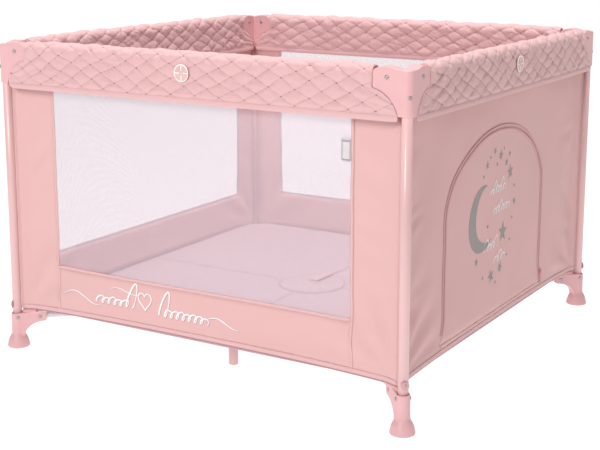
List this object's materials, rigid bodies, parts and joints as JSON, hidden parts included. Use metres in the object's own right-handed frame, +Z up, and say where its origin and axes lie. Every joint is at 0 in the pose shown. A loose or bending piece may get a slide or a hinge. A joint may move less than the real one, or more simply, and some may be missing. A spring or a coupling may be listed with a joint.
{
  "type": "playpen",
  "caption": "Square folding playpen with netting windows, padded rails, a zipped arched door and a folding base cross under its padded floor.",
  "frame": {"origin": "on the ground in the middle of the playpen, under the centre of its base", "axes": "+X towards the side with the zipped door, -Y towards the front window, +Z up"},
  "size_m": [1.1304, 1.1304, 0.7695],
  "materials": {
    "pink_paint": "satin",
    "pink_plastic": "satin",
    "steel": "satin",
    "white_paint": "satin",
    "grey_plastic": "matte",
    "canvas": "matte",
    "padding": "matte",
    "floor_fabric": "matte",
    "netting": "matte",
    "print": "matte",
    "webbing": "matte"
  },
  "bodies": {
    "leg_fl": {"leg_tube_fl": "pink_paint", "top_bracket_fl": "pink_plastic", "foot_casing_fl": "pink_plastic", "snap_cap_fl": "steel", "side_panel_front": "canvas", "side_panel_left": "canvas"},
    "leg_fr": {"leg_tube_fr": "pink_paint", "top_bracket_fr": "pink_plastic", "foot_casing_fr": "pink_plastic", "snap_cap_fr": "steel", "side_panel_right": "canvas"},
    "leg_br": {"leg_tube_br": "pink_paint", "top_bracket_br": "pink_plastic", "foot_casing_br": "pink_plastic", "snap_cap_br": "steel"},
    "leg_bl": {"leg_tube_bl": "pink_paint", "top_bracket_bl": "pink_plastic", "foot_casing_bl": "pink_plastic", "snap_cap_bl": "steel", "side_panel_back": "canvas"},
    "rail_front_l": {"rail_tube_front_l": "steel", "rail_cover_front_l": "padding"},
    "rail_front_r": {"rail_tube_front_r": "steel", "rail_cover_front_r": "padding"},
    "latch_front": {"latch_housing_front": "grey_plastic"},
    "button_front": {"latch_button_front": "grey_plastic"},
    "rail_left_f": {"rail_tube_left_f": "steel", "rail_cover_left_f": "padding"},
    "rail_left_b": {"rail_tube_left_b": "steel", "rail_cover_left_b": "padding"},
    "latch_left": {"latch_housing_left": "grey_plastic"},
    "button_left": {"latch_button_left": "grey_plastic"},
    "rail_right_f": {"rail_tube_right_f": "steel", "rail_cover_right_f": "padding"},
    "rail_right_b": {"rail_tube_right_b": "steel", "rail_cover_right_b": "padding"},
    "latch_right": {"latch_housing_right": "grey_plastic"},
    "button_right": {"latch_button_right": "grey_plastic"},
    "rail_back_l": {"rail_tube_back_l": "steel", "rail_cover_back_l": "padding"},
    "rail_back_r": {"rail_tube_back_r": "steel", "rail_cover_back_r": "padding"},
    "latch_back": {"latch_housing_back": "grey_plastic"},
    "button_back": {"latch_button_back": "grey_plastic"},
    "arm_fl": {"arm_fl": "white_paint", "floor_fl": "floor_fabric"},
    "arm_fr": {"arm_fr": "white_paint", "floor_fr": "floor_fabric"},
    "arm_br": {"arm_br": "white_paint", "floor_br": "floor_fabric"},
    "arm_bl": {"arm_bl": "white_paint", "floor_bl": "floor_fabric"},
    "hub": {"hub": "grey_plastic", "floor_centre": "floor_fabric", "pull_strap": "webbing"},
    "support_front": {"support_front": "pink_paint"},
    "support_back": {"support_back": "pink_paint"},
    "door_flap": {"door_flap": "canvas"},
    "zip_slider": {"zip_slider": "grey_plastic"}
  },
  "joints": [
    {"name": "fold", "type": "hinge", "parent": "leg_fl", "child": "rail_front_l", "pos_m": [-0.498, -0.538, 0.745], "axis": [0, 1, 0], "range_deg": [0, 85], "deforming": ["side_panel_front", "side_panel_left", "side_panel_right", "side_panel_back", "door_flap", "rail_cover_front_l", "rail_cover_front_r", "rail_cover_left_f", "rail_cover_left_b", "rail_cover_right_f", "rail_cover_right_b", "rail_cover_back_l", "rail_cover_back_r", "floor_fl", "floor_fr", "floor_br", "floor_bl"]},
    {"name": "front_latch", "type": "hinge", "parent": "rail_front_l", "child": "latch_front", "pos_m": [-0.03, -0.538, 0.745], "axis": [0, 1, 0], "range_deg": [-85, 0]},
    {"name": "front_rail_r", "type": "hinge", "parent": "latch_front", "child": "rail_front_r", "pos_m": [0.03, -0.538, 0.745], "axis": [0, 1, 0], "range_deg": [-85, 0]},
    {"name": "leg_fr_hinge", "type": "hinge", "parent": "rail_front_r", "child": "leg_fr", "pos_m": [0.498, -0.538, 0.745], "axis": [0, 1, 0], "range_deg": [0, 85]},
    {"name": "left_rail_f", "type": "hinge", "parent": "leg_fl", "child": "rail_left_f", "pos_m": [-0.538, -0.498, 0.745], "axis": [-1, 0, 0], "range_deg": [0, 85]},
    {"name": "left_latch", "type": "hinge", "parent": "rail_left_f", "child": "latch_left", "pos_m": [-0.538, -0.03, 0.745], "axis": [-1, 0, 0], "range_deg": [-85, 0]},
    {"name": "left_rail_b", "type": "hinge", "parent": "latch_left", "child": "rail_left_b", "pos_m": [-0.538, 0.03, 0.745], "axis": [-1, 0, 0], "range_deg": [-85, 0]},
    {"name": "leg_bl_hinge", "type": "hinge", "parent": "rail_left_b", "child": "leg_bl", "pos_m": [-0.538, 0.498, 0.745], "axis": [-1, 0, 0], "range_deg": [0, 85]},
    {"name": "right_rail_f", "type": "hinge", "parent": "leg_fr", "child": "rail_right_f", "pos_m": [0.538, -0.498, 0.745], "axis": [-1, 0, 0], "range_deg": [0, 85]},
    {"name": "right_latch", "type": "hinge", "parent": "rail_right_f", "child": "latch_right", "pos_m": [0.538, -0.03, 0.745], "axis": [-1, 0, 0], "range_deg": [-85, 0]},
    {"name": "right_rail_b", "type": "hinge", "parent": "latch_right", "child": "rail_right_b", "pos_m": [0.538, 0.03, 0.745], "axis": [-1, 0, 0], "range_deg": [-85, 0]},
    {"name": "leg_br_hinge", "type": "hinge", "parent": "rail_right_b", "child": "leg_br", "pos_m": [0.538, 0.498, 0.745], "axis": [-1, 0, 0], "range_deg": [0, 85]},
    {"name": "back_rail_l", "type": "hinge", "parent": "leg_bl", "child": "rail_back_l", "pos_m": [-0.498, 0.538, 0.745], "axis": [0, 1, 0], "range_deg": [0, 85]},
    {"name": "back_latch", "type": "hinge", "parent": "rail_back_l", "child": "latch_back", "pos_m": [-0.03, 0.538, 0.745], "axis": [0, 1, 0], "range_deg": [-85, 0]},
    {"name": "back_rail_r", "type": "hinge", "parent": "latch_back", "child": "rail_back_r", "pos_m": [0.03, 0.538, 0.745], "axis": [0, 1, 0], "range_deg": [-85, 0]},
    {"name": "arm_fl_hinge", "type": "hinge", "parent": "leg_fl", "child": "arm_fl", "pos_m": [-0.49911, -0.49911, 0.077], "axis": [0.7071, -0.7071, 0], "range_deg": [0, 85]},
    {"name": "hub_hinge", "type": "hinge", "parent": "arm_fl", "child": "hub", "pos_m": [-0.03111, -0.03111, 0.077], "axis": [0.7071, -0.7071, 0], "range_deg": [-85, 0]},
    {"name": "arm_fr_hinge", "type": "hinge", "parent": "hub", "child": "arm_fr", "pos_m": [0.03111, -0.03111, 0.077], "axis": [0.7071, 0.7071, 0], "range_deg": [0, 85]},
    {"name": "arm_br_hinge", "type": "hinge", "parent": "hub", "child": "arm_br", "pos_m": [0.03111, 0.03111, 0.077], "axis": [-0.7071, 0.7071, 0], "range_deg": [0, 85]},
    {"name": "arm_bl_hinge", "type": "hinge", "parent": "hub", "child": "arm_bl", "pos_m": [-0.03111, 0.03111, 0.077], "axis": [-0.7071, -0.7071, 0], "range_deg": [0, 85]},
    {"name": "support_front_hinge", "type": "hinge", "parent": "hub", "child": "support_front", "pos_m": [0, -0.054, 0.077], "axis": [1, 0, 0], "range_deg": [0, 85]},
    {"name": "support_back_hinge", "type": "hinge", "parent": "hub", "child": "support_back", "pos_m": [0, 0.054, 0.077], "axis": [-1, 0, 0], "range_deg": [0, 85]},
    {"name": "front_release", "type": "slide", "parent": "latch_front", "child": "button_front", "axis": [0, 0, 1], "range_m": [0, 0.004], "stiffness_N_per_m": 300},
    {"name": "left_release", "type": "slide", "parent": "latch_left", "child": "button_left", "axis": [0, 0, 1], "range_m": [0, 0.004], "stiffness_N_per_m": 300},
    {"name": "right_release", "type": "slide", "parent": "latch_right", "child": "button_right", "axis": [0, 0, 1], "range_m": [0, 0.004], "stiffness_N_per_m": 300},
    {"name": "back_release", "type": "slide", "parent": "latch_back", "child": "button_back", "axis": [0, 0, 1], "range_m": [0, 0.004], "stiffness_N_per_m": 300},
    {"name": "door_hinge", "type": "hinge", "parent": "leg_fr", "child": "door_flap", "pos_m": [0.5245, -0.03, 0.1295], "axis": [0, 1, 0], "range_deg": [0, 105]},
    {"name": "zip_run", "type": "slide", "parent": "leg_fr", "child": "zip_slider", "axis": [0, 0, 1], "range_m": [0, 0.24]}
  ],
  "couplings": [
    {"joint": "front_latch", "follows": "fold", "ratio": -1},
    {"joint": "front_rail_r", "follows": "fold", "ratio": -1},
    {"joint": "leg_fr_hinge", "follows": "fold", "ratio": 1},
    {"joint": "left_rail_f", "follows": "fold", "ratio": 1},
    {"joint": "left_latch", "follows": "fold", "ratio": -1},
    {"joint": "left_rail_b", "follows": "fold", "ratio": -1},
    {"joint": "leg_bl_hinge", "follows": "fold", "ratio": 1},
    {"joint": "right_rail_f", "follows": "fold", "ratio": 1},
    {"joint": "right_latch", "follows": "fold", "ratio": -1},
    {"joint": "right_rail_b", "follows": "fold", "ratio": -1},
    {"joint": "leg_br_hinge", "follows": "fold", "ratio": 1},
    {"joint": "back_rail_l", "follows": "fold", "ratio": 1},
    {"joint": "back_latch", "follows": "fold", "ratio": -1},
    {"joint": "back_rail_r", "follows": "fold", "ratio": -1},
    {"joint": "arm_fl_hinge", "follows": "fold", "ratio": 1},
    {"joint": "hub_hinge", "follows": "fold", "ratio": -1},
    {"joint": "arm_fr_hinge", "follows": "fold", "ratio": 1},
    {"joint": "arm_br_hinge", "follows": "fold", "ratio": 1},
    {"joint": "arm_bl_hinge", "follows": "fold", "ratio": 1},
    {"joint": "support_front_hinge", "follows": "fold", "ratio": 1},
    {"joint": "support_back_hinge", "follows": "fold", "ratio": 1}
  ]
}
